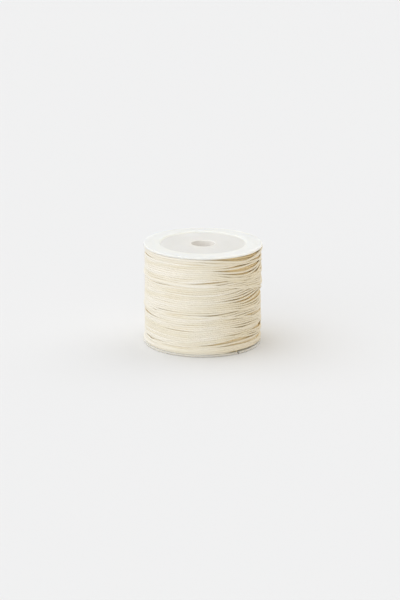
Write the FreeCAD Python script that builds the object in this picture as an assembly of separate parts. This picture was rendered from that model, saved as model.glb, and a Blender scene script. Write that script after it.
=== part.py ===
import FreeCAD, Part
import math
import os

# A spool of waxed thread, standing on its lower flange. Millimetres, +Z along the spool's axis.
# The origin is the centre of the lower flange's outer face. The two moulded halves snap together
# at mid-height, inside the barrel, and the thread is wound round the barrel between the flanges.

V = FreeCAD.Vector
UP = V(0, 0, 1)

# --- The spool's outside ---
flange_d = 60.0
spool_h = 51.4
rim_t = 1.1  # a flange's thickness at its rim
root_t = 1.5  # and where it meets the barrel
rim_round = 0.5
root_round = 0.6
barrel_d = 46.0
barrel_wall = 1.5
bore_d = 12.0
hub_wall = 1.6  # the bore's tube, where it meets the web
hub_draft = 0.25  # how much thinner that tube is at its free end

# --- The web that closes each end, set back from the flange's outer face ---
recess_depth = 0.5
recess_flare = 0.6  # how far the recess's side leans outwards
recess_round = 0.3
web_t = 1.3

# --- The snap joint at mid-height ---
fit_gap = 0.05  # between the halves, all round
end_gap = 0.3  # left free at the end of the spigot and of the nose
socket_depth = 6.0
socket_wall = 1.0  # what the socket leaves of the barrel's wall
spigot_wall = 1.2
spigot_root = 3.0  # how far the spigot's sleeve reaches back into its own half
snap_h = 0.25
snap_w = 1.4
snap_setback = 1.5  # from the spigot's tip to the middle of the snap ring
nose_length = 2.0
nose_wall = 0.7

# --- Ribs from the hub to the barrel, inside each half ---
rib_count = 6
rib_t = 1.1
rib_hub_h = 17.0
rib_barrel_h = 9.0
rib_turn = 30.0  # angle of the first rib, degrees

# --- The slit in the lower rim that holds the thread's end ---
slit_angle = -52.4  # degrees from +X
slit_depth = 2.8
slit_mouth = 1.4
slit_throat = 1.15

# --- The thread ---
thread_d = 1.0
wound_d = 59.6  # over the winding, at its widest
crown = 0.3  # how much the winding's radius falls towards each end
low_gap_w = 2.2  # the gap that the outer turns leave above the lower flange
low_gap_h = 1.2
high_gap_w = 0.6  # and a smaller one below the upper flange
high_gap_h = 0.4
lay_gap = 0.05  # between the thread and what it lies on
start_angle = 200.0  # where the thread's inner end goes through the barrel
start_z = 5.2
start_hole_d = 1.6
knot_d = 3.2

flange_r, barrel_r, bore_r = flange_d / 2, barrel_d / 2, bore_d / 2
inner_r = barrel_r - barrel_wall
socket_r = barrel_r - socket_wall
hub_r = bore_r + hub_wall
mid_z = spool_h / 2
web_z = recess_depth + web_t
thread_r = thread_d / 2


def turned(shape, degrees):
    """The shape turned about the spool's axis."""
    copy = shape.copy()
    copy.rotate(V(0, 0, 0), UP, degrees)
    return copy


def flipped(shape):
    """The shape upside down, for the half whose flange is at the top."""
    copy = shape.copy()
    copy.rotate(V(0, 0, mid_z), V(1, 0, 0), 180)
    return copy


def around(radius, degrees, z):
    """A point at that radius from the axis."""
    a = math.radians(degrees)
    return V(radius * math.cos(a), radius * math.sin(a), z)


def turned_point(point, degrees):
    """The point turned about the spool's axis."""
    a = math.radians(degrees)
    x = point.x * math.cos(a) - point.y * math.sin(a)
    y = point.x * math.sin(a) + point.y * math.cos(a)
    return V(x, y, point.z)


def rounded_edges(corners, closed):
    """Straight runs between the corners, each (point, radius), joined by tangent arcs of that radius."""
    n = len(corners)
    stops, arcs = [], []
    for i, (point, radius) in enumerate(corners):
        if radius <= 0 or (not closed and i in (0, n - 1)):
            stops.append((point, point))
            arcs.append(None)
            continue
        back = (corners[i - 1][0] - point).normalize()
        ahead = (corners[(i + 1) % n][0] - point).normalize()
        half = back.getAngle(ahead) / 2
        reach = radius / math.tan(half)
        middle = (back + ahead).normalize() * (radius / math.sin(half) - radius)
        stops.append((point + back * reach, point + ahead * reach))
        arcs.append(Part.Arc(point + back * reach, point + middle, point + ahead * reach))
    edges = []
    for i in range(n):
        if arcs[i]:
            edges.append(arcs[i].toShape())
        if closed or i < n - 1:
            start, end = stops[i][1], stops[(i + 1) % n][0]
            if start.distanceToPoint(end) > 1e-6:
                edges.append(Part.LineSegment(start, end).toShape())
    return edges


def revolved(profile):
    """A full turn of a closed outline about the axis; its corners are (radius, z) or (radius, z, round)."""
    corners = [(V(c[0], 0, c[1]), c[2] if len(c) > 2 else 0) for c in profile]
    face = Part.Face(Part.Wire(rounded_edges(corners, True)))
    return face.revolve(V(0, 0, 0), UP, 360)


def ring(low_z, high_z, inner, outer):
    """A plain ring between two heights and two radii."""
    return revolved([(inner, low_z), (outer, low_z), (outer, high_z), (inner, high_z)])


def half_shell():
    """Flange, barrel wall, set-back web and hub tube of one half, up to mid-height."""
    return revolved(
        [
            (bore_r, recess_depth, rim_round / 2),
            (inner_r, recess_depth, recess_round),
            (inner_r + recess_flare, 0, recess_round),
            (flange_r, 0, rim_round),
            (flange_r, rim_t, rim_round),
            (barrel_r, root_t, root_round),
            (barrel_r, mid_z),
            (inner_r, mid_z),
            (inner_r, web_z, root_round),
            (hub_r, web_z, root_round),
            (hub_r - hub_draft, mid_z),
            (bore_r, mid_z),
        ]
    )


def ribs():
    """The radial ribs of one half: each is high at the hub and sweeps down to the barrel's wall."""
    bite = min(barrel_wall, hub_wall) / 2
    hub_side, wall_side = hub_r - bite, inner_r + bite
    top = V(hub_side, 0, web_z + rib_hub_h)
    foot = V(wall_side, 0, web_z + rib_barrel_h)
    sag = V((hub_side + wall_side) / 2, 0, web_z + rib_barrel_h + (rib_hub_h - rib_barrel_h) / 4)
    low_out = V(wall_side, 0, web_z - web_t / 2)
    low_in = V(hub_side, 0, web_z - web_t / 2)
    outline = Part.Wire(
        [
            Part.LineSegment(low_in, top).toShape(),
            Part.Arc(top, sag, foot).toShape(),
            Part.LineSegment(foot, low_out).toShape(),
            Part.LineSegment(low_out, low_in).toShape(),
        ]
    )
    rib = Part.Face(outline).extrude(V(0, rib_t, 0))
    rib.translate(V(0, -rib_t / 2, 0))
    return [turned(rib, rib_turn + i * 360 / rib_count) for i in range(rib_count)]


def snap_ring(outer, spare):
    """The ring that snaps home in the joint, or with spare above 0 the groove for it."""
    z = mid_z - socket_depth + end_gap + snap_setback
    half = snap_w / 2 + spare
    ridge = outer + snap_h
    return revolved(
        [
            (outer - socket_wall / 2, z - half),
            (outer, z - half),
            (ridge + spare / 2, z - half / 3),
            (ridge + spare / 2, z + half / 3),
            (outer, z + half),
            (outer - socket_wall / 2, z + half),
        ]
    )


def rim_slit():
    """The tapered slit, as a block to cut from the rim."""
    beyond = rim_round
    widen = (slit_mouth - slit_throat) / slit_depth * beyond
    outline = [
        V(flange_r + beyond, -(slit_mouth + widen) / 2, 0),
        V(flange_r + beyond, (slit_mouth + widen) / 2, 0),
        V(flange_r - slit_depth, slit_throat / 2, 0),
        V(flange_r - slit_depth, -slit_throat / 2, 0),
    ]
    block = Part.Face(Part.makePolygon(outline + outline[:1])).extrude(V(0, 0, root_t))
    end = Part.makeCylinder(slit_throat / 2, root_t, V(flange_r - slit_depth, 0, 0), UP)
    return turned(block.fuse(end), slit_angle)


def start_hole():
    """The hole in the barrel's wall that the thread's inner end goes through."""
    outward = around(1, start_angle, 0)
    foot = around(inner_r - barrel_wall, start_angle, start_z)
    return Part.makeCylinder(start_hole_d / 2, 3 * barrel_wall, foot, outward)


def lower_spool_half():
    """The half that the spool stands on: it has the joint's socket, the slit and the start hole."""
    body = half_shell().multiFuse(ribs())
    body = body.cut(ring(mid_z - socket_depth, mid_z, inner_r - barrel_wall, socket_r))
    body = body.cut(snap_ring(socket_r, fit_gap))
    counterbore = ring(mid_z - nose_length - end_gap, mid_z, bore_r / 2, bore_r + nose_wall + fit_gap)
    return body.cut(counterbore).cut(rim_slit()).cut(start_hole()).removeSplitter()


def upper_spool_half():
    """The half with the joint's spigot inside the barrel and the nose at the end of its hub."""
    outer = socket_r - fit_gap
    inner = outer - spigot_wall
    tip = mid_z - socket_depth + end_gap
    lead = spigot_wall / 3
    spigot = revolved(
        [
            (inner, tip),
            (outer - lead, tip),
            (outer, tip + lead),
            (outer, mid_z),
            (inner_r + barrel_wall / 3, mid_z),
            (inner_r + barrel_wall / 3, mid_z + spigot_root),
            (inner_r, mid_z + spigot_root + (inner_r - inner)),
            (inner, mid_z + spigot_root),
        ]
    )
    nose = ring(mid_z - nose_length, mid_z + nose_length, bore_r, bore_r + nose_wall)
    body = flipped(half_shell().multiFuse(ribs()))
    return body.multiFuse([spigot, snap_ring(outer, 0), nose]).removeSplitter()


def thread_winding():
    """The whole winding as one ring: straight on the barrel, crowned outside, a gap beside each flange."""
    side_r = wound_d / 2 - crown
    inner = barrel_r + lay_gap
    corner = root_round + lay_gap
    slope = (root_t - rim_t) / (flange_r - barrel_r)

    def end_profile(gap_w, gap_h):
        """(radius, height above the flange's outer face) from the barrel out to the winding's side."""
        steps = [(inner, corner), (inner + corner, 0), (side_r - gap_w, 0)]
        steps += [(side_r - gap_w, gap_h), (side_r, gap_h)]
        return [(r, h + rim_t + slope * (flange_r - r) + lay_gap) for r, h in steps]

    low = [V(r, 0, h) for r, h in end_profile(low_gap_w, low_gap_h)]
    high = [V(r, 0, spool_h - h) for r, h in reversed(end_profile(high_gap_w, high_gap_h))]
    middle = V(wound_d / 2, 0, mid_z)
    edges = [Part.LineSegment(a, b).toShape() for a, b in zip(low, low[1:])]
    edges.append(Part.Arc(low[-1], middle, high[0]).toShape())
    edges += [Part.LineSegment(a, b).toShape() for a, b in zip(high, high[1:])]
    edges.append(Part.LineSegment(high[-1], low[0]).toShape())
    return Part.Face(Part.Wire(edges)).revolve(V(0, 0, 0), UP, 360)


def knot_centre():
    """The knot sits against the inside of the barrel's wall."""
    return around(inner_r - knot_d / 2 - lay_gap, start_angle, start_z)


def thread_start_knot():
    """The knot at the thread's start, as a plain ball."""
    return Part.makeSphere(knot_d / 2, knot_centre())


def thread_inner_end():
    """The straight stretch from the knot out through the barrel's wall to the winding."""
    outward = around(1, start_angle, 0)
    length = knot_d / 2 + lay_gap + barrel_wall
    return Part.makeCylinder(thread_r, length, knot_centre(), outward).cut(thread_start_knot())


def tail_route():
    """The outer end's route: (mm in from the rim, mm round from the slit, mm above the rim's top face)."""
    route = [
        (1.95, -8.40, 0.66),
        (1.62, -5.90, 0.67),
        (1.64, -3.60, 0.69),
        (1.88, -1.80, 0.75),
        (2.10, -0.72, 0.84),
        (2.10, -0.24, 0.57),
        (2.10, 0.03, 0.09),
        (2.05, 0.02, -0.88),
    ]
    return [turned_point(V(flange_r - r, t, rim_t + h), slit_angle) for r, t, h in route]


def thread_tail():
    """The outer end: along the gap under the winding, then down into the root of the slit."""
    points = tail_route()
    corners = [(points[0], 0)]
    for a, b, c in zip(points, points[1:], points[2:]):
        half_turn = (b - a).getAngle(c - b) / 2
        radius = 0.45 * min((b - a).Length, (c - b).Length) / math.tan(half_turn)
        print("tail radius %.2f mm at a turn of %.0f degrees" % (radius, 2 * math.degrees(half_turn)))
        corners.append((b, radius))
    corners.append((points[-1], 0))
    spine = Part.Wire(rounded_edges(corners, False))
    start = points[1] - points[0]
    section = Part.Wire(Part.Circle(points[0], start, thread_r).toShape())
    tube = spine.makePipeShell([section], True, False)
    expected = math.pi * thread_r**2 * spine.Length
    print("tail length %.2f mm" % spine.Length)
    print("tail volume %.3f of section times length" % (tube.Volume / expected))
    return tube


def main():
    os.makedirs("parts", exist_ok=True)
    pieces = {
        "lower_spool_half": lower_spool_half(),
        "upper_spool_half": upper_spool_half(),
        "thread_winding": thread_winding(),
        "thread_inner_end": thread_inner_end(),
        "thread_start_knot": thread_start_knot(),
        "thread_tail": thread_tail(),
    }
    for name, shape in pieces.items():
        shape.exportStep("parts/%s.step" % name)
        print(name, "solids", len(shape.Solids), "valid", shape.isValid(), "mm3 %.1f" % shape.Volume)


main()
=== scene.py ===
import math

import bpy
import numpy as np
from mathutils import Matrix, Vector


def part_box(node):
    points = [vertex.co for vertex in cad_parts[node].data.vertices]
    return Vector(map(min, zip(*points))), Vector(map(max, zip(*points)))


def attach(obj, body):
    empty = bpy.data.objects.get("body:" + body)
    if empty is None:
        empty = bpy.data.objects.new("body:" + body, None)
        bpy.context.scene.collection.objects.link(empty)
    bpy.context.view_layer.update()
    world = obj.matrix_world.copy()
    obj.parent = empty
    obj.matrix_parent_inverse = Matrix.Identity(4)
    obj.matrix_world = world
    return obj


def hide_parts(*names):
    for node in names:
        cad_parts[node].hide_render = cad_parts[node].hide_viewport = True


# A spool of waxed thread on a pale table. Metres, in the frame of the construction model:
# +Z is the spool's axis and the front is towards -Y. The thread is wound on by rule, turn after
# turn, each turn settling on the ones below it, and it is one strand from its knot to its end.

MM = 0.001
FULL_TURN = 2 * math.pi

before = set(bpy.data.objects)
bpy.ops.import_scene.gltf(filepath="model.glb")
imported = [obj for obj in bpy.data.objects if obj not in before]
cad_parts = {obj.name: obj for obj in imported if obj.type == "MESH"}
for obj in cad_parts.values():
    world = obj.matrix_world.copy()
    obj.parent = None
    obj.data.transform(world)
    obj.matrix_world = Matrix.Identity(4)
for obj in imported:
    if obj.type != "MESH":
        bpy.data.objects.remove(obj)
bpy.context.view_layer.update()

# --- Sizes read from the construction model ---
inner_low, inner_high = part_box("thread_inner_end")
knot_low, knot_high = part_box("thread_start_knot")
THREAD_R = (inner_high[2] - inner_low[2]) / 2
KNOT_R = (knot_high[2] - knot_low[2]) / 2
KNOT_CENTRE = (np.array(knot_low) + np.array(knot_high)) / 2
START_TURN = math.atan2(KNOT_CENTRE[1], KNOT_CENTRE[0])
SPOOL_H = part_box("upper_spool_half")[1][2]

# --- The spool, as in the construction model ---
FLANGE_R = 30 * MM
RIM_T = 1.1 * MM
BARREL_R = 23 * MM
LAY_GAP = 0.05 * MM  # between the barrel and the first turns
SLIT_ANGLE = math.radians(-52.4)

# The outer end's route, as in the construction model: mm in from the rim, mm round from the slit and
# mm above the rim's top face
TAIL_ROUTE = [
    (1.95, -8.40, 0.66),
    (1.62, -5.90, 0.67),
    (1.64, -3.60, 0.69),
    (1.88, -1.80, 0.75),
    (2.10, -0.72, 0.84),
    (2.10, -0.24, 0.57),
    (2.10, 0.03, 0.09),
    (2.05, 0.02, -0.88),
]

# --- How the thread is wound ---
SEED = 41
AROUND = 96  # steps in one turn
LOOK_AHEAD = AROUND // 6  # steps of the next turn, and of the one before, that each turn is laid with
ROW = 0.05 * MM  # height of one row of the surface that the next turn settles on
LOOSE_SIDE = math.radians(-28)  # the thread lies loosest on this side
LOOSE_SHARP = 4.0  # how sharply the looseness falls off round the spool
FULL_R = 29.45 * MM  # the radius past which a strand is pressed into those below it
GIVE = 0.25  # what is left there of each bit of radius
FLAT, WIDE = 0.88, 1.25  # depth and width of the thread where it lies tight and is pressed flat

# The guide that lays it on
WAY_POINTS = 1000  # points on its way along the spool
EVEN_OUT = 1.0  # how much faster it passes a place that stands a strand too high
LEVEL_BLUR = 1.2 * MM  # it takes that height over this width
LEVEL_REACH = 60  # rows to each side that count in it
PACE_LIMITS = (0.5, 3.0)  # the slowest and the fastest pace that comes of it
PACE_TURNS = 1.5  # the turns over which its pace varies
CROSS_SIDE = math.radians(5)  # the turns that cross the others come down most on this side
CROSS_PACE = 5  # how much faster they do so there
WANDER_STEPS = 7.0  # the steps round the spool over which its wander varies
WANDER_H = 1.3 * MM  # and the height over which it does
SHAKE_STEPS = 7  # the steps along the thread over which its shake varies
STEADY = 0.15  # the share of both that stays on the tight side

# How each turn settles
SNUG = 0.6  # how closely it follows the one before it, against the guide
STRAY = 0.8  # how much of that is lost on the loose side
FOLLOW = 1.0 * MM  # how far it follows it at most
SETTLE = 1.6 * MM  # how far it may slide sideways into a groove
SETTLE_PLACES = 33  # places that are tried for it
SLIDE_COST = 350.0  # per metre: what a slide costs against a smaller radius
BEND_COST = 3000.0  # per metre: what a change of slide between steps costs
JOIN_COST = 30000.0  # per metre: what a change from the end of the turn before costs
ROUND_OFF = np.array([1, 2, 3, 2, 1]) / 9  # shares of neighbouring steps that smooth its slides
SLACK = 0.05 * MM  # how far a slack stretch stands off
SLACK_STEPS = 9  # the steps over which that varies
SLACK_FROM = 1  # the noise past which a stretch is slack
EDGE_PLAY = 0.12 * MM  # how far it may pass the ends of its pass
WEDGE_SIDE = math.radians(-45)  # some turns stop short of the upper flange on this side
WEDGE = 2.2 * MM  # by this much
WEDGE_SHARP = 3  # how much more sharply than the looseness that falls off

# Each pass of the guide: its start and end, in mm above mid-height; mm per turn; the unevenness of
# that; wander and shake in mm; how far the strand presses into its neighbours, in mm; how much of the
# way it goes on CROSS_SIDE, 0 to 1; 1 if it leaves the wedge open
PASSES = [
    (-20.5, -23.5, 3.0, 0.00, 0.00, 0.02, 0.00, 0.0, 0),
    (-23.5, 23.5, 1.08, 0.05, 0.10, 0.05, -0.04, 0.0, 0),
    (23.5, -23.5, 1.08, 0.05, 0.10, 0.05, -0.04, 0.0, 0),
    (-23.5, 23.6, 1.08, 0.05, 0.10, 0.05, -0.04, 0.0, 0),
    (23.6, -23.4, 1.10, 0.05, 0.30, 0.05, -0.04, 0.0, 0),
    (-23.4, 23.7, 1.10, 0.05, 0.40, 0.08, -0.03, 0.0, 0),
    (23.7, -23.2, 1.03, 0.04, 0.30, 0.10, 0.02, 0.0, 0),
    (-23.2, -20.6, 8.0, 0.00, 0.00, 0.02, 0.05, 0.0, 0),
    (-20.6, 23.8, 1.07, 0.04, 1.45, 0.45, 0.04, 0.1, 1),
    (23.8, -20.6, 15.0, 0.20, 0.60, 0.15, 0.35, 0.9, 1),
    (-20.6, -23.05, 1.00, 0.03, 0.00, 0.03, 0.08, 0.0, 0),
]

# From the last pass to the tail, the thread comes down to the flange, lies on it and turns in
RUN_IN = math.radians(325)  # the angle of all that
COME_DOWN = math.radians(60)  # the angle of its first part
TUCK_IN = math.radians(26)  # and of its last, under the winding
LOW_R, LOW_Z = 29.35 * MM, 1.77 * MM  # where it lies between them

# --- How the thread is drawn ---
WALL_POINTS = 4  # control points from the knot out through the barrel's wall
WALL_END = BARREL_R - 0.2 * MM  # radius of the last of them
CONTROL_STEP = 3  # steps of the winding for each control point of the strand
CURVE_STEPS = 2  # points of the finished line for each control point
FINE_TURNS = 100  # outer turns drawn with a fine tube
FINE_SIDES = 8
COARSE_SIDES = 5
COARSE_SKIP = 3  # points of the line for each ring of the coarse tube
STEEP = 0.7  # past this rise for each metre of thread, a ring is turned by the way to the spool's axis
KNOT_STRAND_R = 0.38 * MM  # the thread where the knot is drawn up tight
KNOT_POINTS = 97

# --- Colours ---
THREAD_PALE = (0.915, 0.868, 0.765)
THREAD_DEEP = (0.845, 0.78, 0.625)
# Painted shade: the gold of the shade deep between the turns and on the right side
THREAD_SHADE_GOLD = (0.87, 0.71, 0.42)
RIGHT_SHADE = 0.38  # painted shade: how far the right side is turned from cream to gold
RIGHT_SHADE_REACH = 24 * MM  # how far to the right that painted shade grows
GROOVE_SHADE_DEPTH = 0.9 * MM  # painted shade between the turns: how deep below FULL_R a turn is golden
PLASTIC_RIM = (0.98, 0.935, 0.83)
# Painted shade: the flanges' outer edge a little darker and warmer than the rim
PLASTIC_EDGE_SHADE = (0.95, 0.895, 0.79)
PLASTIC_FOOT_SHADE = (0.82, 0.735, 0.61)  # painted shade: the edge that it stands on, darker where it meets the table
# Painted shade: the web darker than the rim, which is backed by thread
PLASTIC_WEB_SHADE = (0.767, 0.742, 0.684)
# Painted light: the hub lighter, as if glowing through the milky plastic
PLASTIC_HUB_PAINTED_LIGHT = (0.995, 0.965, 0.925)
PLASTIC_HAZE = (0.88, 0.86, 0.80)
TABLE_WHITE = 0.815
SUN_COLOUR = (0.98, 1.00, 1.06)
SKY_LEFT = (0.97, 0.98, 0.99)
SKY_RIGHT = (0.98, 0.94, 0.85)

CONTRAST = (0.3, 0.7)  # the noise between which clouds, grain and streaks go from none to full

# --- Finish of the thread ---
THREAD_CLOUD = 9 * MM  # size of its cloudy patches
GROOVE_SHADE_PATCHES = (0.7, 1.0)  # how strong a deep turn's painted shade is outside and inside them
STREAKS = 16.0  # streaks of colour for each metre of thread
PLIES = 3
TWIST = 3.2 * MM  # the length in which the plies go once round
PLY_ROUND = 0.6  # the power that rounds them off
FIBRE = 0.25  # height of the fibres against theirs
THREAD_BUMP = (0.4, 0.05 * MM)  # strength and height of all that
THREAD_ROUGH = (0.38, 0.55)  # how rough it is, from between its grains to on them
THREAD_SHINE = 0.8

# --- Finish of the plastic ---
PLASTIC_CLOUD = 14 * MM  # size of its cloudy patches
HAZE = 0.25  # how hazy they are
HUB_ENDS = (6.05 * MM, 6.6 * MM)  # the radii between which the hub's painted light goes over to the web's painted shade
WEB_ENDS = (BARREL_R - 2.2 * MM, BARREL_R - 1.2 * MM)  # the web's painted shade to the rim's colour
RIM_ENDS = (FLANGE_R - 0.5 * MM, FLANGE_R - 0.1 * MM)  # and the rim's to its edge's painted shade
FLOW_GAP = 0.9 * MM  # from one flow mark to the next
FLOW = 0.15  # their height against the depth of the scuffs
SCUFF_SCALE = (3000, 160, 400)  # how fine the scuffs are along x, y and z
SCUFF_TURN = (0, 0, 0.6)
SCUFFED = (0.6, 0.75)  # the noise between which a scuff deepens
PLASTIC_BUMP = (0.25, 0.02 * MM)  # strength and height of marks and scuffs
PLASTIC_ROUGH = 0.42
GRAIN_ROUGH = 0.12  # what the grain adds to that
SCUFF_ROUGH = 0.15  # and what the scuffs add
MILKY_FROM = (6.3 * MM, 8 * MM)  # the radii between which light begins to spread inside
MILKY_SCALE = 3 * MM  # how far it spreads
MILKY_COLOURS = (1, 0.95, 0.85)

# --- Lights ---
SKY = 0.52  # the even part of the sky, where 1 is white
SKY_TURNS = (-0.5, 0.9)  # where its colour starts and stops changing, from -1 on the left to 1
# Each glow in it: the way to it, its level and how sharply it falls off
GLOWS = [((0.42, 0.85, 0.32), 0.42, 2.0), ((-0.52, -0.84, 0.1), 1.25, 3.0)]
TABLE = 20.0  # half the table's side

# --- Camera ---
DISTANCE = 1.0
ELEVATION = math.radians(16.3)
ROLL = math.radians(0.4)
AIM_LEFT = 1.25 * MM
AIM_DOWN = 4.5 * MM
SENSOR = 36  # in mm, as is the lens
LENS = 118.1
SIGHT = 20  # how far it sees


def smooth_noise(rng, count, width):
    """Random numbers blurred along their line by a bell curve that many steps wide, with a spread of 1."""
    reach = int(4 * width) + 1
    bell = np.exp(-0.5 * (np.arange(-reach, reach + 1) / width) ** 2)
    line = np.pad(rng.standard_normal(count), reach, mode="reflect")
    blurred = np.convolve(line, bell, mode="valid")[:count]
    return blurred / blurred.std()


def smooth_field(rng, rows, wide, tall):
    """A random field over angle and height, blurred by a bell curve along both, that closes on itself."""
    raw = rng.standard_normal((AROUND, rows))
    along = np.fft.fftfreq(AROUND)[:, None] * wide
    across = np.fft.fftfreq(rows)[None, :] * tall
    keep = np.exp(-2 * math.pi**2 * (along**2 + across**2))
    blurred = np.real(np.fft.ifft2(np.fft.fft2(raw) * keep))
    return blurred / blurred.std()


def looseness(angle, middle=LOOSE_SIDE):
    """How loosely the thread lies: 1 in the middle, falling as exp(LOOSE_SHARP * (cos(away) - 1))."""
    return np.exp(LOOSE_SHARP * (np.cos(angle - middle) - 1))


def eased(share):
    """A smooth step from 0 to 1: 3 t^2 - 2 t^3, where t is the share of the way."""
    t = np.clip(share, 0, 1)
    return t**2 * (3 - 2 * t)


def polar(radius, angle, z):
    """Points at that radius, angle and height, as rows of x, y and z."""
    radius, angle, z = np.broadcast_arrays(radius, angle, z)
    return np.column_stack([radius * np.cos(angle), radius * np.sin(angle), z])


def length_along(line):
    """The length of the line up to each of its points."""
    return np.concatenate([[0], np.cumsum(np.linalg.norm(np.diff(line, axis=0), axis=1))])


def time_along(surface, way):
    """When the guide reaches each height of its way. It passes faster where the surface already stands high.

    The time spent at a place is 1 / (1 + EVEN_OUT * height over the median / thread's diameter).
    """
    height = np.arange(surface.shape[1]) * ROW
    inside = (height > way.min()) & (height < way.max())
    bell = np.exp(-0.5 * (np.arange(-LEVEL_REACH, LEVEL_REACH + 1) * ROW / LEVEL_BLUR) ** 2)
    level = np.pad(surface.mean(axis=0)[inside], LEVEL_REACH, mode="edge")
    stands = np.interp(way, height[inside], np.convolve(level, bell / bell.sum(), mode="valid"))
    spare = (stands - np.median(stands)) / (2 * THREAD_R)
    return np.cumsum(1 / np.clip(1 + EVEN_OUT * spare, *PACE_LIMITS))


def guide_rise(rng, surface, angle, start, end, uneven, crossing):
    """The guide's height at each step from start to end, without wander: a running sum of exp(noise).

    That sum is its share of the time along the way. A crossing turn goes faster on CROSS_SIDE.
    """
    way = SPOOL_H / 2 + MM * np.linspace(start, end, WAY_POINTS)
    time = time_along(surface, way)
    pace = np.exp(uneven * smooth_noise(rng, len(angle), PACE_TURNS * AROUND))
    pace *= 1 - crossing + CROSS_PACE * crossing * looseness(angle, CROSS_SIDE)
    climb = np.cumsum(pace)
    return np.interp(climb / climb[-1] * time[-1], time, way)


def guide_drift(rng, rows, rise, column, angle, wander, shake):
    """How far off its rise the guide is: a field over angle and height, plus noise along the thread.

    Both are strongest on the loose side and fade out at the ends of the pass.
    """
    field = smooth_field(rng, rows, WANDER_STEPS, WANDER_H / ROW)
    row = np.clip((rise / ROW).astype(int), 0, rows - 1)
    drift = wander * field[column, row] + shake * smooth_noise(rng, len(rise), SHAKE_STEPS)
    drift = (STEADY + (1 - STEADY) * looseness(angle)) * drift
    step = np.arange(len(rise))
    fade = np.minimum(step, step[::-1]) / (AROUND / 4)
    return MM * drift * np.minimum(fade, 1)


def easiest_slide(contact, offsets, first):
    """For each step the offset that settles lowest without sharp bends: the cheapest path through the table.

    A path's cost is the contact radius, plus the slide squared, plus the change of slide squared.
    """
    cost = contact + SLIDE_COST * offsets**2
    change = BEND_COST * (offsets[:, None] - offsets[None, :]) ** 2
    best = cost[0] + JOIN_COST * (offsets - first) ** 2
    came_from = np.empty(cost.shape, int)
    for i in range(1, len(cost)):
        total = best[None, :] + change
        came_from[i] = total.argmin(axis=1)
        best = total[np.arange(len(offsets)), came_from[i]] + cost[i]
    path = np.empty(len(cost), int)
    path[-1] = best.argmin()
    for i in range(len(cost) - 1, 0, -1):
        path[i - 1] = came_from[i, path[i]]
    return offsets[path]


def pulled_tight(radius, near, cosine):
    """The radius of a tight string over those radii: the envelope of the straight lines that rest on them.

    The line facing step j is as far out as the largest radius * cos(angle to j) near it, and the string is
    the smallest of line / cos(angle to j). The floor of 0.2 only keeps steps that aren't near, and don't
    count, from dividing by zero.
    """
    lines = np.where(near, radius[None, :] * cosine, -np.inf).max(axis=1)
    string = np.where(near, lines[None, :] / np.maximum(cosine, 0.2), np.inf).min(axis=1)
    return np.maximum(string, radius)


def half_circle(radius):
    """The rows that a strand spans, from its middle, and its height at each: sqrt(radius^2 - d^2), or 0."""
    reach = round(THREAD_R / ROW)
    rows = np.arange(-reach, reach + 1)
    return rows, np.sqrt(np.maximum(radius**2 - (rows * ROW) ** 2, 0))


def lay_turn(surface, column, wanted, low, high, slid, behind, slack, press):
    """Lay one turn, with its look ahead, and give its heights, radii at rest, radii pulled tight and slides.

    The surface is a table of the radius at each angle and row. A strand of radius a at height z touches it
    at the largest of surface(z + d) + sqrt(a^2 - d^2) over d. It slides from wanted to the easiest place
    between low and high, going on from the slide and the radii of the stretch behind it. Past FULL_R
    only GIVE of the radius is left.
    """
    touch = THREAD_R - press
    rows, dome = half_circle(touch)
    dome = dome - (np.abs(rows * ROW) > touch)  # past its side the strand touches nothing
    offsets = np.linspace(-SETTLE, SETTLE, SETTLE_PLACES)
    places = np.clip(wanted[:, None] + offsets[None, :], low, high[:, None])
    cells = np.rint(places / ROW).astype(int)[:, :, None] + rows
    contact = (surface[column[:, None, None], cells] + dome).max(axis=2)
    offset = easiest_slide(contact, offsets, slid)
    offset = np.convolve(np.pad(offset, len(ROUND_OFF) // 2, mode="edge"), ROUND_OFF, mode="valid")
    z = np.clip(wanted + offset, low, high)
    cells = np.rint(z / ROW).astype(int)[:, None] + rows
    rests = (surface[column[:, None], cells] + dome).max(axis=1) + slack
    apart = np.arange(len(behind) + len(rests))
    apart = apart[:, None] - apart[None, :]
    near = np.abs(apart) <= len(behind)
    tight = pulled_tight(np.concatenate([behind, rests]), near, np.cos(apart * FULL_TURN / AROUND))
    radius = tight[len(behind) :]
    return z, rests, radius - (1 - GIVE) * np.maximum(radius - FULL_R, 0), offset


def raise_surface(surface, column, z, radius):
    """Raise the surface to the strand: the larger of what it was and radius + sqrt(a^2 - d^2)."""
    for d, up in zip(*half_circle(THREAD_R)):
        row = np.rint(z / ROW).astype(int) + d
        surface[column, row] = np.maximum(surface[column, row], radius + up)


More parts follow.
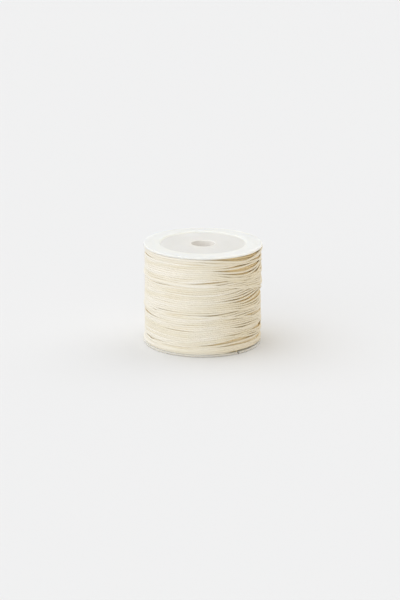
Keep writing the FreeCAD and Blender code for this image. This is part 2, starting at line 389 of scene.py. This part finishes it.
def wind_thread(rng, end_angle):
    """Angle, radius and height of the strand at each step of the winding, laid on turn by turn.

    The last pass is stretched by up to a turn so that it ends at end_angle.
    """
    surface = np.full((AROUND, int(SPOOL_H / ROW) + 1), BARREL_R + LAY_GAP)
    behind = np.full(LOOK_AHEAD, BARREL_R + LAY_GAP + THREAD_R)
    slid, done = 0.0, 0
    z_out, r_out = [], []
    for number, settings in enumerate(PASSES, 1):
        start, end, pitch, uneven, wander, shake, press, crossing, wedge = settings
        steps = round(abs(end - start) / pitch * AROUND)
        if number == len(PASSES):
            last_step = round((end_angle - START_TURN) / FULL_TURN * AROUND)
            steps += (last_step - done - steps) % AROUND
        column = (done + np.arange(steps)) % AROUND
        angle = START_TURN + column * FULL_TURN / AROUND
        rise = guide_rise(rng, surface, angle, start, end, uneven, crossing)
        guide = rise + guide_drift(rng, surface.shape[1], rise, column, angle, wander, shake)
        guide = np.pad(guide, (0, AROUND + LOOK_AHEAD), mode="edge")
        slack = SLACK * np.maximum(smooth_noise(rng, len(guide), SLACK_STEPS) - SLACK_FROM, 0)
        low, high = (SPOOL_H / 2 + MM * v for v in sorted((start, end)))
        beside = 2 * (THREAD_R - MM * press) * (1 if end > start else -1)
        before = np.full(AROUND, np.nan)
        for i in range(0, steps, AROUND):
            keep = min(AROUND, steps - i)
            here = slice(i, i + keep + LOOK_AHEAD)
            column = (done + i + np.arange(keep + LOOK_AHEAD)) % AROUND
            angle = START_TURN + column * FULL_TURN / AROUND
            follow = np.nan_to_num(before[column] + beside - guide[here])
            snug = SNUG * (1 - STRAY * looseness(angle))
            wanted = guide[here] + snug * np.clip(follow, -FOLLOW, FOLLOW)
            top = high + EDGE_PLAY - wedge * WEDGE * looseness(angle, WEDGE_SIDE) ** WEDGE_SHARP
            z, rests, tight, offset = lay_turn(
                surface, column, wanted, low - EDGE_PLAY, top, slid, behind, slack[here], MM * press
            )
            slid = offset[keep]
            before[column[:keep]] = z[:keep]
            behind = np.concatenate([behind, rests[:keep]])[-LOOK_AHEAD:]
            raise_surface(surface, column[:keep], z[:keep], tight[:keep])
            z_out.append(z[:keep])
            r_out.append(tight[:keep])
        done += steps
    angle = START_TURN + np.arange(done) * FULL_TURN / AROUND
    return angle, np.concatenate(r_out), np.concatenate(z_out)


def knot_line():
    """A trefoil's line: x = sin t + 2 sin 2t, y = cos t - 2 cos 2t, z = -0.9 sin 3t, scaled to the knot."""
    t = np.linspace(0, FULL_TURN, KNOT_POINTS)
    x, y, z = np.sin(t) + 2 * np.sin(2 * t), np.cos(t) - 2 * np.cos(2 * t), -0.9 * np.sin(3 * t)
    return KNOT_CENTRE + (KNOT_R - KNOT_STRAND_R) / 3 * np.column_stack([x, y, z])


def tail_points():
    """The outer end's route as rows of x, y and z."""
    inwards, sideways, above = MM * np.array(TAIL_ROUTE).T
    x, y = FLANGE_R - inwards, sideways
    cos, sin = math.cos(SLIT_ANGLE), math.sin(SLIT_ANGLE)
    return np.column_stack([x * cos - y * sin, x * sin + y * cos, RIM_T + above])


def strand_route():
    """Control points of the whole strand, from the knot inside the barrel to its end in the slit."""
    tail = tail_points()
    tail_r, tail_turn, tail_z = math.hypot(*tail[0, :2]), math.atan2(tail[0, 1], tail[0, 0]), tail[0, 2]
    angle, radius, z = wind_thread(np.random.default_rng(SEED), tail_turn - RUN_IN)
    pick = slice(None, None, CONTROL_STEP)
    # A spline of order 3 passes a control point at 3/4 of it and 1/8 of each neighbour, so it runs a
    # little inside the coil's own radius
    swell = 1 / (0.75 + 0.25 * math.cos(CONTROL_STEP * FULL_TURN / AROUND))
    coil = polar(radius[pick] * swell, angle[pick], z[pick])
    wall_r = np.linspace(math.hypot(*KNOT_CENTRE[:2]), WALL_END, WALL_POINTS)
    inside = polar(wall_r, START_TURN, KNOT_CENTRE[2])
    run = (tail_turn - angle[-1]) % FULL_TURN
    way = np.linspace(0, run, int(run / FULL_TURN * AROUND / CONTROL_STEP) + 1)[1:-1]
    first, last = eased(way / COME_DOWN), eased(1 - (run - way) / TUCK_IN)
    down = polar(
        radius[-1] + (LOW_R - radius[-1]) * first + (tail_r - LOW_R) * last,
        angle[-1] + way,
        z[-1] + (LOW_Z - z[-1]) * first + (tail_z - LOW_Z) * last,
    )
    return np.concatenate([inside, coil[1:], down, tail])


def smooth_line(points):
    """The points along a NURBS spline of order 3 that has those control points."""
    curve = bpy.data.curves.new("strand_route", "CURVE")
    curve.dimensions = "3D"
    spline = curve.splines.new("NURBS")
    spline.points.add(len(points) - 1)
    spline.points.foreach_set("co", np.column_stack([points, np.ones(len(points))]).ravel())
    spline.order_u = 3
    spline.use_endpoint_u = True
    spline.resolution_u = CURVE_STEPS
    holder = bpy.data.objects.new("strand_route", curve)
    mesh = bpy.data.meshes.new_from_object(holder)
    line = np.empty(len(mesh.vertices) * 3)
    mesh.vertices.foreach_get("co", line)
    bpy.data.meshes.remove(mesh)
    bpy.data.objects.remove(holder)
    bpy.data.curves.remove(curve)
    return line.reshape(-1, 3)


def tube_grid(line, sides, radius):
    """Rings of points round a line: centre + radius * (flat * cos a * out + wide * sin a * over).

    out is square to the line and points away from the spool's axis; over is square to both. flat and wide
    go from FLAT and WIDE where the thread lies tight to 1 on the loose side.
    """
    along = np.gradient(line, axis=0)
    along /= np.linalg.norm(along, axis=1, keepdims=True)
    away = line * [1, 1, 0]
    away -= (away * along).sum(axis=1, keepdims=True) * along
    steep = np.abs(along[:, 2:]) > STEEP
    out = np.where(steep, away, np.cross(along, [0, 0, 1]))
    out /= np.linalg.norm(out, axis=1, keepdims=True)
    over = np.cross(out, along)
    turn = np.arange(sides) * FULL_TURN / sides
    tight = 1 - looseness(np.arctan2(line[:, 1], line[:, 0]))
    ring = (1 + (FLAT - 1) * tight)[:, None, None] * np.cos(turn)[None, :, None] * out[:, None, :]
    ring = ring + (1 + (WIDE - 1) * tight)[:, None, None] * np.sin(turn)[None, :, None] * over[:, None, :]
    return line[:, None, :] + radius * ring


def tube_faces(rings, sides, first):
    """Corner numbers of the quads between rings of points, and of the two end caps."""
    i, j = np.meshgrid(np.arange(rings - 1), np.arange(sides), indexing="ij")
    after = (j + 1) % sides
    corner = [i * sides + j, (i + 1) * sides + j, (i + 1) * sides + after, i * sides + after]
    quads = np.stack(corner, axis=-1).reshape(-1, 4) + first
    caps = [np.arange(sides) + first, np.arange(sides)[::-1] + first + (rings - 1) * sides]
    return quads, caps


def tube_uvs(run, sides):
    """UVs of each quad's corners: u is the length along the thread, v the share of the way round it."""
    i, j = np.meshgrid(np.arange(len(run) - 1), np.arange(sides), indexing="ij")
    u = np.stack([run[i], run[i + 1], run[i + 1], run[i]], axis=-1)
    v = np.stack([j, j, j + 1, j + 1], axis=-1) / sides
    return np.stack([u, v], axis=-1).reshape(-1, 2)


def thread_mesh(name, tubes, radius):
    """One mesh of several tubes, each (line, sides, length before it), with UVs along and round them."""
    points, quads, caps, uvs, cap_uvs = [], [], [], [], []
    first = 0
    for line, sides, before in tubes:
        faces, ends = tube_faces(len(line), sides, first)
        run = before + length_along(line)
        uvs.append(tube_uvs(run, sides))
        points.append(tube_grid(line, sides, radius).reshape(-1, 3))
        quads.append(faces)
        caps += ends
        cap_uvs += [np.tile([run[0], 0.5], (sides, 1)), np.tile([run[-1], 0.5], (sides, 1))]
        first += len(line) * sides
    mesh = bpy.data.meshes.new(name)
    faces = [tuple(q) for q in np.concatenate(quads).tolist()] + [tuple(c.tolist()) for c in caps]
    mesh.from_pydata(np.concatenate(points).tolist(), [], faces)
    layer = mesh.uv_layers.new(name="lay")
    layer.uv.foreach_set("vector", np.concatenate(uvs + cap_uvs).ravel())
    mesh.polygons.foreach_set("use_smooth", np.ones(len(mesh.polygons), bool))
    mesh.update()
    piece = bpy.data.objects.new(name, mesh)
    bpy.context.scene.collection.objects.link(piece)
    return piece


def strand_tubes(line, lengths):
    """The strand as two tubes: a coarse one for the turns inside and a fine one for the outer turns."""
    split = len(line) - FINE_TURNS * CURVE_STEPS * AROUND // CONTROL_STEP
    split -= split % COARSE_SKIP
    coarse = (line[: split + 1 : COARSE_SKIP], COARSE_SIDES, 0.0)
    return [coarse, (line[split:], FINE_SIDES, lengths[split])]


def new_material(name):
    """A material, its tree of nodes and the inputs of its Principled shader."""
    material = bpy.data.materials.new(name)
    material.use_nodes = True
    return material, material.node_tree, material.node_tree.nodes["Principled BSDF"].inputs


def node(tree, kind, **settings):
    """A shader node of that kind with those settings."""
    made = tree.nodes.new(kind)
    for name, value in settings.items():
        setattr(made, name, value)
    return made


def feed(tree, socket, value):
    """Join an output to the socket, or set the socket to a number or a colour."""
    if isinstance(value, bpy.types.NodeSocket):
        tree.links.new(value, socket)
    else:
        socket.default_value = value


def maths(tree, operation, a, b=0.0, c=0.0, clamp=False):
    """The output of a math node; a, b and c are numbers or outputs."""
    made = node(tree, "ShaderNodeMath", operation=operation, use_clamp=clamp)
    for socket, value in zip(made.inputs, (a, b, c)):
        feed(tree, socket, value)
    return made.outputs[0]


def blend(tree, factor, low, high):
    """The output of a colour mix from low to high; each is a colour or an output."""
    made = node(tree, "ShaderNodeMix", data_type="RGBA")
    feed(tree, made.inputs[0], factor)
    for socket, value in ((made.inputs[6], low), (made.inputs[7], high)):
        feed(tree, socket, (*value, 1) if isinstance(value, tuple) else value)
    return made.outputs[2]


def spread(tree, value, low, high, to_low=0.0, to_high=1.0):
    """The output of a smooth step of value from low..high to to_low..to_high."""
    made = node(tree, "ShaderNodeMapRange", interpolation_type="SMOOTHSTEP")
    for socket, number in zip(made.inputs[:5], (value, low, high, to_low, to_high)):
        feed(tree, socket, number)
    return made.outputs[0]


def noise(tree, dimensions, detail, **inputs):
    """The output of a noise texture with those inputs."""
    made = node(tree, "ShaderNodeTexNoise", noise_dimensions=dimensions)
    made.inputs["Detail"].default_value = detail
    for name, value in inputs.items():
        feed(tree, made.inputs[name], value)
    return made.outputs["Fac"]


def bumped(tree, height, strength, distance):
    """A normal bumped by that height, 1 of which stands for the distance."""
    made = node(tree, "ShaderNodeBump")
    made.inputs["Strength"].default_value = strength
    made.inputs["Distance"].default_value = distance
    feed(tree, made.inputs["Height"], height)
    return made.outputs[0]


def parts_of(tree, vector):
    """The x, y and z of a vector."""
    made = node(tree, "ShaderNodeSeparateXYZ")
    feed(tree, made.inputs[0], vector)
    return made.outputs


def place_on_piece(tree):
    """The place on the piece, and its distance from the spool's axis."""
    place = node(tree, "ShaderNodeTexCoord").outputs["Object"]
    x, y, _ = parts_of(tree, place)
    flat = node(tree, "ShaderNodeCombineXYZ")
    feed(tree, flat.inputs[0], x)
    feed(tree, flat.inputs[1], y)
    length = node(tree, "ShaderNodeVectorMath", operation="LENGTH")
    feed(tree, length.inputs[0], flat.outputs[0])
    return place, length.outputs["Value"]


def mottle_group():
    """Shared effect: broad cloudy patches and fine grain, each 0 to 1, from a vector and a size in metres."""
    group = bpy.data.node_groups.new("mottle", "ShaderNodeTree")
    group.interface.new_socket("Vector", in_out="INPUT", socket_type="NodeSocketVector")
    group.interface.new_socket("Size", in_out="INPUT", socket_type="NodeSocketFloat")
    group.interface.new_socket("Patches", in_out="OUTPUT", socket_type="NodeSocketFloat")
    group.interface.new_socket("Grain", in_out="OUTPUT", socket_type="NodeSocketFloat")
    source, sink = node(group, "NodeGroupInput"), node(group, "NodeGroupOutput")
    per_metre = maths(group, "DIVIDE", 1.0, source.outputs["Size"])
    for output, times, detail in (("Patches", 1.0, 3.0), ("Grain", 9.0, 4.0)):
        scale = maths(group, "MULTIPLY", per_metre, times)
        cloud = noise(group, "3D", detail, Vector=source.outputs["Vector"], Scale=scale)
        feed(group, sink.inputs[output], spread(group, cloud, *CONTRAST))
    return group


def mottled(tree, mottle, place, size):
    """The patches and the grain of the mottle at that place and size."""
    cloud = node(tree, "ShaderNodeGroup", node_tree=mottle)
    feed(tree, cloud.inputs["Vector"], place)
    cloud.inputs["Size"].default_value = size
    return cloud.outputs["Patches"], cloud.outputs["Grain"]


def thread_material(mottle):
    """Waxed thread: plies laid in a twist, with golden painted shade deep between the outer turns and on the
    right side.
    """
    material, tree, shader = new_material("waxed_thread")
    along, around, _ = parts_of(tree, node(tree, "ShaderNodeUVMap", uv_map="lay").outputs[0])
    place, radius = place_on_piece(tree)
    patches, grain = mottled(tree, mottle, place, THREAD_CLOUD)

    streaks = noise(tree, "1D", 3.0, W=maths(tree, "MULTIPLY", along, STREAKS), Scale=1.0)
    cream = blend(tree, spread(tree, streaks, *CONTRAST), THREAD_PALE, THREAD_DEEP)
    # Painted shade: gold deep between the outer turns, in patches
    groove_shade = spread(tree, radius, FULL_R, FULL_R - GROOVE_SHADE_DEPTH)
    patchy = spread(tree, patches, 0.0, 1.0, *GROOVE_SHADE_PATCHES)
    # Painted shade: gold on the right side, growing to the right
    right_shade = spread(tree, parts_of(tree, place)[0], 0.0, RIGHT_SHADE_REACH, 0.0, RIGHT_SHADE)
    painted_shade = maths(tree, "MULTIPLY_ADD", groove_shade, patchy, right_shade, clamp=True)
    feed(tree, shader["Base Color"], blend(tree, painted_shade, cream, THREAD_SHADE_GOLD))

    ply = maths(tree, "MULTIPLY_ADD", around, PLIES, maths(tree, "MULTIPLY", along, PLIES / TWIST))
    wave = maths(tree, "COSINE", maths(tree, "MULTIPLY", ply, math.pi))
    ridge = maths(tree, "POWER", maths(tree, "ABSOLUTE", wave), PLY_ROUND)
    height = maths(tree, "ADD", ridge, maths(tree, "MULTIPLY", grain, FIBRE))
    feed(tree, shader["Normal"], bumped(tree, height, *THREAD_BUMP))
    feed(tree, shader["Roughness"], spread(tree, grain, 0.0, 1.0, *THREAD_ROUGH))
    shader["Specular IOR Level"].default_value = THREAD_SHINE
    return material


def plastic_material(mottle):
    """Milky moulded plastic with flow marks, haze and fine scuffs. Painted shade makes the web darker than
    the rim, which is paler where it is backed by thread, and darkens the flanges' outer edge, most at the
    foot; painted light makes the hub lighter.
    """
    material, tree, shader = new_material("spool_plastic")
    place, radius = place_on_piece(tree)
    patches, grain = mottled(tree, mottle, place, PLASTIC_CLOUD)

    # Painted light on the hub and painted shade on the web
    hub_glow_web_shade = blend(tree, spread(tree, radius, *HUB_ENDS), PLASTIC_HUB_PAINTED_LIGHT, PLASTIC_WEB_SHADE)
    # Painted shade: the lower flange's edge darker where it stands on the table
    foot_shade = spread(tree, parts_of(tree, place)[2], RIM_T, 2 * RIM_T, 1.0, 0.0)
    # Painted shade: the flanges' outer edge darker and warmer, darkest at the foot
    edge = blend(tree, foot_shade, PLASTIC_EDGE_SHADE, PLASTIC_FOOT_SHADE)
    rim = blend(tree, spread(tree, radius, *RIM_ENDS), PLASTIC_RIM, edge)
    body = blend(tree, spread(tree, radius, *WEB_ENDS), hub_glow_web_shade, rim)
    haze = maths(tree, "MULTIPLY", patches, HAZE)
    feed(tree, shader["Base Color"], blend(tree, haze, body, PLASTIC_HAZE))

    stretch = node(tree, "ShaderNodeMapping")
    stretch.inputs["Scale"].default_value = SCUFF_SCALE
    stretch.inputs["Rotation"].default_value = SCUFF_TURN
    feed(tree, stretch.inputs["Vector"], place)
    scuffs = spread(tree, noise(tree, "3D", 2.0, Vector=stretch.outputs[0], Scale=1.0), *SCUFFED)
    rough = maths(tree, "MULTIPLY_ADD", grain, GRAIN_ROUGH, PLASTIC_ROUGH)
    feed(tree, shader["Roughness"], maths(tree, "MULTIPLY_ADD", scuffs, SCUFF_ROUGH, rough))
    flow = maths(tree, "SINE", maths(tree, "MULTIPLY", radius, FULL_TURN / FLOW_GAP))
    height = maths(tree, "MULTIPLY_ADD", flow, FLOW, maths(tree, "MULTIPLY", scuffs, -1.0))
    feed(tree, shader["Normal"], bumped(tree, height, *PLASTIC_BUMP))
    feed(tree, shader["Subsurface Weight"], spread(tree, radius, *MILKY_FROM))
    shader["Subsurface Radius"].default_value = MILKY_COLOURS
    shader["Subsurface Scale"].default_value = MILKY_SCALE
    return material


def pale_table():
    """The pale, matte table that the spool stands on."""
    corners = [(-TABLE, -TABLE, 0), (TABLE, -TABLE, 0), (TABLE, TABLE, 0), (-TABLE, TABLE, 0)]
    mesh = bpy.data.meshes.new("table")
    mesh.from_pydata(corners, [], [(0, 1, 2, 3)])
    table = bpy.data.objects.new("table", mesh)
    bpy.context.scene.collection.objects.link(table)
    material, _, shader = new_material("table")
    shader["Base Color"].default_value = (TABLE_WHITE, TABLE_WHITE, TABLE_WHITE, 1)
    shader["Roughness"].default_value = 0.9
    shader["Specular IOR Level"].default_value = 0.0
    table.data.materials.append(material)
    return table


def soft_sun(name, azimuth, elevation, level, width):
    """A lamp that many degrees wide, from that azimuth (degrees from the front, + to the right).

    level is what it adds to a white surface that faces it: 1 is white.
    """
    lamp = bpy.data.lights.new(name, "SUN")
    lamp.angle = math.radians(width)
    lamp.energy = level * math.pi
    lamp.color = SUN_COLOUR
    holder = bpy.data.objects.new(name, lamp)
    holder.rotation_euler = (math.radians(90 - elevation), 0, math.radians(azimuth))
    bpy.context.scene.collection.objects.link(holder)


def studio_sky():
    """An even white sky, a little warm on the right, with soft glows.

    Its strength is SKY plus, for each glow, level * max(direction . towards the glow, 0)^sharpness.
    """
    world = bpy.data.worlds.new("studio")
    bpy.context.scene.world = world
    world.use_nodes = True
    tree = world.node_tree
    background = tree.nodes["Background"].inputs
    direction = node(tree, "ShaderNodeTexCoord").outputs["Generated"]
    warm = spread(tree, parts_of(tree, direction)[0], *SKY_TURNS)
    feed(tree, background["Color"], blend(tree, warm, SKY_LEFT, SKY_RIGHT))
    strength = SKY
    for side, level, sharpness in GLOWS:
        towards = node(tree, "ShaderNodeVectorMath", operation="DOT_PRODUCT")
        feed(tree, towards.inputs[0], direction)
        towards.inputs[1].default_value = Vector(side).normalized()
        glow = maths(tree, "MAXIMUM", towards.outputs["Value"], 0.0)
        glow = maths(tree, "POWER", glow, sharpness)
        strength = maths(tree, "MULTIPLY_ADD", glow, level, strength)
    feed(tree, background["Strength"], strength)


def aimed_camera():
    """A camera with a long lens, in front of the spool and a little above it."""
    data = bpy.data.cameras.new("camera")
    data.sensor_width = SENSOR
    data.lens = LENS
    data.clip_end = SIGHT
    camera = bpy.data.objects.new("camera", data)
    bpy.context.scene.collection.objects.link(camera)
    bpy.context.scene.camera = camera
    middle = Vector((0, 0, SPOOL_H / 2))
    camera.location = middle + Vector((0, -math.cos(ELEVATION), math.sin(ELEVATION))) * DISTANCE
    right = Vector((1, 0, 0))
    up = Vector((0, math.sin(ELEVATION), math.cos(ELEVATION)))
    aim = middle - right * AIM_LEFT - up * AIM_DOWN
    look = (aim - camera.location).to_track_quat("-Z", "Y").to_matrix()
    camera.rotation_euler = (look @ Matrix.Rotation(ROLL, 3, "Z")).to_euler()


mottle = mottle_group()

# --- The thread ---
line = smooth_line(strand_route())
lengths = length_along(line)
thread = thread_mesh("wound_thread", strand_tubes(line, lengths), THREAD_R)
knot = thread_mesh("start_knot", [(knot_line(), FINE_SIDES, 0.0)], KNOT_STRAND_R)
waxed = thread_material(mottle)
for piece in (thread, knot):
    piece.data.materials.append(waxed)
    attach(piece, "root")
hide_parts("thread_winding", "thread_tail", "thread_inner_end")
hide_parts("thread_start_knot")

# --- The spool ---
plastic = plastic_material(mottle)
for half in ("lower_spool_half", "upper_spool_half"):
    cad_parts[half].data.materials.clear()
    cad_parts[half].data.materials.append(plastic)

# --- Table, lights and camera ---
table = pale_table()
soft_sun("key", azimuth=-112, elevation=57, level=0.28, width=60)
soft_sun("fill", azimuth=127, elevation=53, level=0.155, width=50)
studio_sky()
aimed_camera()
bpy.context.scene.view_settings.view_transform = "Standard"
